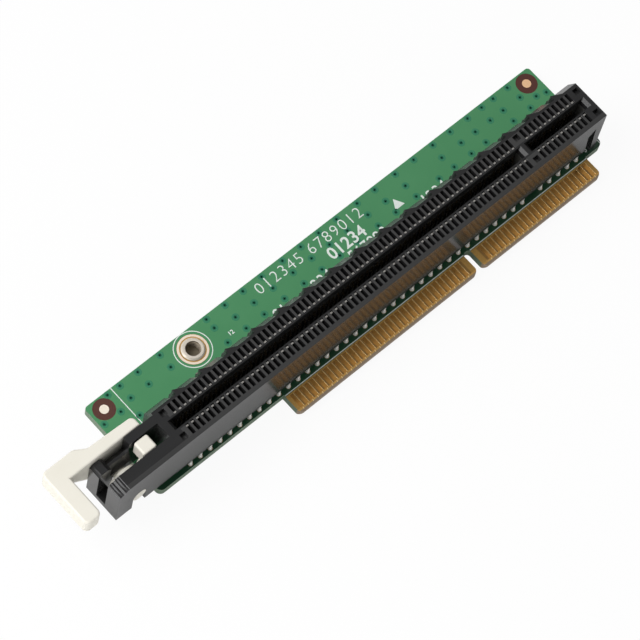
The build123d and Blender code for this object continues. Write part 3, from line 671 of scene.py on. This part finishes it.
class RiserStudio(bpy.types.PropertyGroup):
    """Camera and light."""

    camera_place: spot("Camera place", (-0.22929, -0.11786, 0.47206), "Where the camera stands")
    camera_turn: bpy.props.FloatVectorProperty(
        name="Camera turn", default=(radians(24.372), radians(-7.193), radians(-42.263)),
        subtype="EULER", unit="ROTATION", description="How the camera is turned")
    lens: bpy.props.FloatProperty(name="Lens", default=190.65, min=1, unit="CAMERA",
                                  description="Focal length in millimetres on a 36 mm sensor")
    world_level: bpy.props.FloatProperty(name="World level", default=0.34, min=0,
                                         description="Strength of the light from all round")
    floor_size: length("Floor size", 4, "Side of the square floor")
    floor_pale: colour("Floor", (0.9, 0.9, 0.9), "The floor round the card")
    # Painted shadow on the floor under the board.
    floor_painted_shadow: colour("Floor under the card", (0.34, 0.28, 0.20), "The floor under the board")
    floor_glow: share("Floor glow", 0.93, "Share of plain white in what the camera sees of the floor")
    mirror_share: share("Mirror share", 0.15, "Share of that white in what glossy surfaces show")
    shade_inset: length("Shade inset", 1.5 * MM, "How far inside the board's left edge its shade begins")
    key_place: spot("Key light place", (-0.345, 0.19, 0.48), "The large light above the back left")
    key_power: power("Key light", 2.8, "Power of the large light")
    key_size: length("Key light size", 0.4, "Side of the large light")
    rim_place: spot("Rim light place", (-0.48, 0.13, 0.20), "The low light on the left")
    rim_power: power("Rim light", 0.34, "Power of the low light on the left")
    rim_size: length("Rim light size", 0.16, "Side of the low light on the left")
    fill_place: spot("Fill light place", (-0.30, -0.42, 0.13), "The low light in front")
    fill_power: power("Fill light", 0.55, "Power of the low light in front")
    fill_size: length("Fill light size", 0.25, "Side of the low light in front")


# Plain digits on the board, with every size in millimetres; x and y are a row's lower left corner
DigitRow = namedtuple("DigitRow", "digits x y height spacing growth")
PRINTED_NUMBERS = {
    "print_numbers_long": [
        DigitRow("012345", -44.7, 10.55, 2.05, 1.17, -0.04),
        DigitRow("6789012", -33.8, 10.55, 2.05, 1.17, -0.04),
    ],
    "print_numbers_bold": [
        DigitRow("01234", -31.8, 7.85, 2.1, 1.05, 0.05),
    ],
    "print_numbers_behind": [
        DigitRow("01", -45.3, 5.75, 1.75, 1.1, 0.03),
        DigitRow("234", -37.3, 5.75, 1.75, 1.1, 0.03),
        DigitRow("567890", -29.4, 5.75, 1.75, 1.1, 0.03),
        DigitRow("1234", -13.9, 5.75, 1.75, 1.1, 0.03),
    ],
    "print_numbers_small": [
        DigitRow("12", -52.9, 8.35, 0.75, 1.0, 0.02),
        DigitRow("3", 12.6, -3.6, 0.9, 1.0, 0.02),
    ],
}
DIGIT_SHARE = 0.73      # height of a digit in Blender's own typeface at a text size of 1


# Operators

class RISER_OT_board(bpy.types.Operator):
    """Finish the board: laminate, green mask and coated vias with their pads"""

    bl_idname = "riser.board"
    bl_label = "Board"

    def execute(self, context):
        finishes, detail = context.scene.riser_finishes, context.scene.riser_detail
        paint(["board"], laminate_finish(finishes))
        paint(["solder_mask_front", "solder_mask_back"], mask_finish(finishes))
        paint(["plated_vias"], coated_via_finish(finishes))
        pad_finish = via_pad_finish(finishes)
        centres = solid_centres("plated_vias")
        faces = {"via_pads_front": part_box("solder_mask_front")[1].z,
                 "via_pads_back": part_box("solder_mask_back")[0].z}
        for name, face in faces.items():
            pads = repeat(self.pad_ring(detail), [(centre.x, centre.y, face) for centre in centres])
            hand_over(pads, name, pad_finish)
        return {"FINISHED"}

    def pad_ring(self, detail):
        """Low ring of coated copper round one via, with its edges cut back."""
        bpy.ops.mesh.primitive_circle_add(vertices=24, radius=detail.via_pad_radius, fill_type="NGON")
        ring = bpy.context.object
        bpy.ops.object.mode_set(mode="EDIT")
        bpy.ops.mesh.inset(thickness=detail.via_pad_radius - detail.via_mouth)
        bpy.ops.mesh.delete(type="FACE")
        bpy.ops.object.mode_set(mode="OBJECT")
        modify(ring, "SOLIDIFY", thickness=2 * detail.via_pad_height, offset=0)
        modify(ring, "BEVEL", width=detail.via_pad_rounding, segments=1, limit_method="ANGLE")
        outward(ring)
        return ring


class RISER_OT_fingers(bpy.types.Operator):
    """Plate the edge fingers, and add their rims and the plating stubs on the bevelled edge"""

    bl_idname = "riser.fingers"
    bl_label = "Edge fingers"

    def execute(self, context):
        finishes, detail = context.scene.riser_finishes, context.scene.riser_detail
        paint(["edge_pads_front", "edge_pads_back"], gold_finish(finishes))
        # Painted highlight: the rims and stubs get a pale, part-metallic gold so they read as bright lines.
        rim_highlight_gold = rim_highlight_finish(finishes)
        fingers = self.finger_places(detail)
        low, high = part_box("edge_pads_front")
        board_back, pads_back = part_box("board")[0].z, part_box("edge_pads_back")[0].z

        slope = atan2(detail.bevel_depth, detail.bevel_length)
        reach = detail.stub_length / 2
        for name, face, side in (("plating_stubs_front", 0, 1), ("plating_stubs_back", board_back, -1)):
            stub = self.stub(detail)
            stub.rotation_euler = (side * slope, 0, 0)
            stub.location = (0, low.y - reach * cos(slope), face - side * reach * sin(slope))
            place(stub)
            stubs = repeat(stub, [(x, 0, 0) for x in fingers])
            hand_over(stubs, name, rim_highlight_gold)

        to_side = (detail.pad_width - detail.rim_width) / 2
        for name, face in (("finger_rims_front", high.z), ("finger_rims_back", pads_back)):
            rim = self.rim(detail, high.y - low.y)
            rims = repeat(rim, [(x + to_side, (low.y + high.y) / 2, face) for x in fingers])
            hand_over(rims, name, rim_highlight_gold)
        return {"FINISHED"}

    def finger_places(self, detail):
        """X of every edge finger, worked out from the box of the pads and of the two print lines."""
        low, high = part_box("edge_pads_front")
        slot_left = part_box("print_line_left")[1].x
        slot_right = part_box("print_line_right")[0].x
        places = []
        x = low.x + detail.pad_width / 2
        while x < slot_left - detail.pad_pitch:
            places.append(x)
            x += detail.pad_pitch
        x = high.x - detail.pad_width / 2
        while x > slot_right + detail.pad_pitch:
            places.append(x)
            x -= detail.pad_pitch
        return places

    def rim(self, detail, reach):
        """One low rounded rim along a finger's side."""
        bpy.ops.mesh.primitive_cylinder_add(vertices=10, radius=0.5, depth=1, rotation=(pi / 2, 0, 0))
        rim = bpy.context.object
        place(rim)
        rim.scale = (detail.rim_width, reach, detail.rim_height)
        place(rim)
        modify(rim, "BEVEL", width=detail.rim_rounding, segments=2, limit_method="ANGLE",
               angle_limit=radians(60))
        return rim

    def stub(self, detail):
        """One short flat strip with its edges cut back."""
        bpy.ops.mesh.primitive_cube_add(size=1)
        strip = bpy.context.object
        strip.scale = (detail.stub_width, detail.stub_length, detail.stub_height)
        place(strip)
        modify(strip, "BEVEL", width=detail.stub_rounding, segments=1)
        return strip


class RISER_OT_connector(bpy.types.Operator):
    """Finish the connector: black moulding with softened edges, tinned springs and solder"""

    bl_idname = "riser.connector"
    bl_label = "Connector"

    def execute(self, context):
        finishes, detail = context.scene.riser_finishes, context.scene.riser_detail
        moulding = moulding_finish(finishes)
        paint(["connector_housing"], moulding)
        housing = self.softened(detail)
        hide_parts("connector_housing")
        hand_over(housing, "housing_softened", moulding)
        contacts = [name for name in frame["nodes"] if name.startswith("contacts_")]
        paint(contacts, tinned_finish(finishes))
        paint(["lead_fillets", "solder_joints"], solder_finish(finishes))
        return {"FINISHED"}

    def softened(self, detail):
        """The housing with the moulding's sharp edges rounded off."""
        housing = merged_copy("connector_housing")
        bpy.ops.object.mode_set(mode="EDIT")
        bpy.ops.mesh.select_all(action="SELECT")
        bpy.ops.mesh.dissolve_limited(angle_limit=radians(1))
        bpy.ops.object.mode_set(mode="OBJECT")
        modify(housing, "BEVEL", width=detail.moulded_edge, segments=2, limit_method="ANGLE",
               angle_limit=radians(50), miter_outer="MITER_SHARP")
        return housing


class RISER_OT_lever(bpy.types.Operator):
    """Finish the latch lever in ivory"""

    bl_idname = "riser.lever"
    bl_label = "Latch lever"

    def execute(self, context):
        paint(["latch_lever"], ivory_finish(context.scene.riser_finishes))
        return {"FINISHED"}


class RISER_OT_nut(bpy.types.Operator):
    """Finish the nut, its copper rings and the fiducial marks, and cut the nut's thread"""

    bl_idname = "riser.nut"
    bl_label = "Threaded nut"

    def execute(self, context):
        finishes, detail = context.scene.riser_finishes, context.scene.riser_detail
        metal = nut_finish(finishes)
        paint(["threaded_nut"], metal)
        copper = copper_finish(finishes)
        paint(["nut_pad_front", "nut_pad_back", "fiducial_left", "fiducial_right"], copper)
        hand_over(self.thread(detail), "nut_thread", metal)
        return {"FINISHED"}

    def thread(self, detail):
        """Helical ridge inside the bore, closed at both ends."""
        low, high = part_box("threaded_nut")
        centre = middle("threaded_nut")
        depth, pitch = detail.thread_depth, detail.thread_pitch
        turns = int((high.z - low.z - 2 * depth) / pitch)
        start = high.z - 1.5 * depth - turns * pitch     # the last turn ends half a depth under the top
        bpy.ops.mesh.primitive_circle_add(vertices=4, radius=depth, fill_type="NOTHING",
                                          rotation=(pi / 2, 0, 0))
        ridge = bpy.context.object
        ridge.location = (bore_radius(), 0, 0)
        place(ridge)
        modify(ridge, "SCREW", angle=2 * pi, screw_offset=pitch, iterations=turns, steps=32,
               render_steps=32, use_merge_vertices=True)
        ridge.location = (centre.x, centre.y, start)
        place(ridge)
        bpy.ops.object.mode_set(mode="EDIT")
        bpy.ops.mesh.select_all(action="SELECT")
        bpy.ops.mesh.fill_holes(sides=8)
        bpy.ops.object.mode_set(mode="OBJECT")
        outward(ridge)
        return ridge


class RISER_OT_print(bpy.types.Operator):
    """Print the white lines, the triangle and plain numbers along the connector"""

    bl_idname = "riser.print"
    bl_label = "White print"

    def execute(self, context):
        finishes, detail = context.scene.riser_finishes, context.scene.riser_detail
        ink = ink_finish(finishes)
        paint([name for name in frame["nodes"] if name.startswith("print_")], ink)
        for name, rows in PRINTED_NUMBERS.items():
            pieces = [self.number(detail, row) for row in rows]
            pick(*pieces)
            bpy.ops.object.join()
            hand_over(pieces[0], name, ink)
        return {"FINISHED"}

    def number(self, detail, row):
        """One row of digits, standing on the mask."""
        bpy.ops.object.text_add()
        text = bpy.context.object.data
        text.body = row.digits
        text.size = row.height * MM / DIGIT_SHARE
        text.space_character = row.spacing
        text.offset = row.growth * MM
        text.extrude = detail.number_height / 2
        text.resolution_u = 3
        bpy.ops.object.convert(target="MESH")
        piece = bpy.context.object
        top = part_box("solder_mask_front")[1].z
        piece.location = (row.x * MM, row.y * MM, top + detail.number_height / 2)
        place(piece)
        outward(piece)
        return piece


class RISER_OT_stage(bpy.types.Operator):
    """Set the floor, the soft lights and the camera"""

    bl_idname = "riser.stage"
    bl_label = "Stage"

    def execute(self, context):
        studio = context.scene.riser_studio
        self.floor(studio)
        self.world(studio)
        self.lamp("key", studio.key_place, studio.key_size, studio.key_power)
        self.lamp("rim", studio.rim_place, studio.rim_size, studio.rim_power)
        self.lamp("fill", studio.fill_place, studio.fill_size, studio.fill_power)
        self.camera(studio)
        context.scene.view_settings.view_transform = "Standard"
        return {"FINISHED"}

    def floor(self, studio):
        """Wide pale floor under the solder tips: plain white to the camera, and a painted shadow in a darker
        colour under the board.
        """
        bpy.ops.mesh.primitive_plane_add(size=studio.floor_size, location=(0, 0, cad_low.z))
        floor = bpy.context.object
        floor.name = "floor"
        place(floor)
        finish = Finish("floor", Roughness=1)
        low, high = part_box("board")
        along = finish.axis("X").within(low.x + studio.shade_inset, high.x)
        under = along * finish.axis("Y").within(0, high.y)
        seen = finish.node("ShaderNodeLightPath", output="Is Camera Ray")
        for ray in ("Is Glossy Ray", "Is Transmission Ray"):
            seen = seen.most(finish.node("ShaderNodeLightPath", output=ray) * studio.mirror_share)
        # Painted shadow: the floor is coloured dark under the board.
        finish.set(Base_Color=finish.blend(under, studio.floor_pale, studio.floor_painted_shadow))
        lit = Wire(finish, finish.shader.outputs[0])
        glow = finish.node("ShaderNodeEmission")
        white = seen * (1 - under) * studio.floor_glow
        mixed = finish.node("ShaderNodeMixShader", {}, {0: white, 1: lit, 2: glow})
        finish.feed(finish.nodes["Material Output"].inputs["Surface"], mixed)
        floor.data.materials.append(finish.material)

    def world(self, studio):
        """Even light from all round."""
        world = bpy.data.worlds.new("studio")
        bpy.context.scene.world = world
        world.use_nodes = True
        light = world.node_tree.nodes["Background"]
        light.inputs["Color"].default_value = (1, 1, 1, 1)
        light.inputs["Strength"].default_value = studio.world_level

    def lamp(self, name, where, size, power):
        """One square soft light aimed at the middle of the card."""
        bpy.ops.object.light_add(type="AREA", location=where)
        lamp = bpy.context.object
        lamp.name = name
        lamp.data.shape = "SQUARE"
        lamp.data.size = size
        lamp.data.energy = power
        aim = (cad_low + cad_high) / 2 - lamp.location
        lamp.rotation_euler = aim.to_track_quat("-Z", "Y").to_euler()

    def camera(self, studio):
        """Camera at the photograph's angle."""
        bpy.ops.object.camera_add(location=studio.camera_place, rotation=studio.camera_turn)
        camera = bpy.context.object
        camera.data.sensor_width = 36
        camera.data.lens = studio.lens
        camera.data.clip_start = 0.01
        camera.data.clip_end = 10
        bpy.context.scene.camera = camera


class RISER_PT_panel(bpy.types.Panel):
    """Lists the riser card's steps and settings"""

    bl_idname = "RISER_PT_panel"
    bl_label = "Riser card"
    bl_space_type = "VIEW_3D"
    bl_region_type = "UI"
    bl_category = "Riser card"

    def draw(self, context):
        for step in STEPS:
            self.layout.operator(step.bl_idname)
        for name, group in GROUPS.items():
            box = self.layout.box()
            for setting in group.__annotations__:
                box.prop(getattr(context.scene, name), setting)


GROUPS = {"riser_finishes": RiserFinishes, "riser_detail": RiserDetail, "riser_studio": RiserStudio}
STEPS = [RISER_OT_board, RISER_OT_fingers, RISER_OT_connector, RISER_OT_lever, RISER_OT_nut,
         RISER_OT_print, RISER_OT_stage]


def register():
    for made in [*GROUPS.values(), *STEPS, RISER_PT_panel]:
        bpy.utils.register_class(made)
    for name, group in GROUPS.items():
        setattr(bpy.types.Scene, name, bpy.props.PointerProperty(type=group))


def unregister():
    for name in GROUPS:
        delattr(bpy.types.Scene, name)
    for made in reversed([*GROUPS.values(), *STEPS, RISER_PT_panel]):
        bpy.utils.unregister_class(made)


def main():
    register()
    bpy.ops.riser.board()
    bpy.ops.riser.fingers()
    bpy.ops.riser.connector()
    bpy.ops.riser.lever()
    bpy.ops.riser.nut()
    bpy.ops.riser.print()
    bpy.ops.riser.stage()


if __name__ == "__main__":
    main()
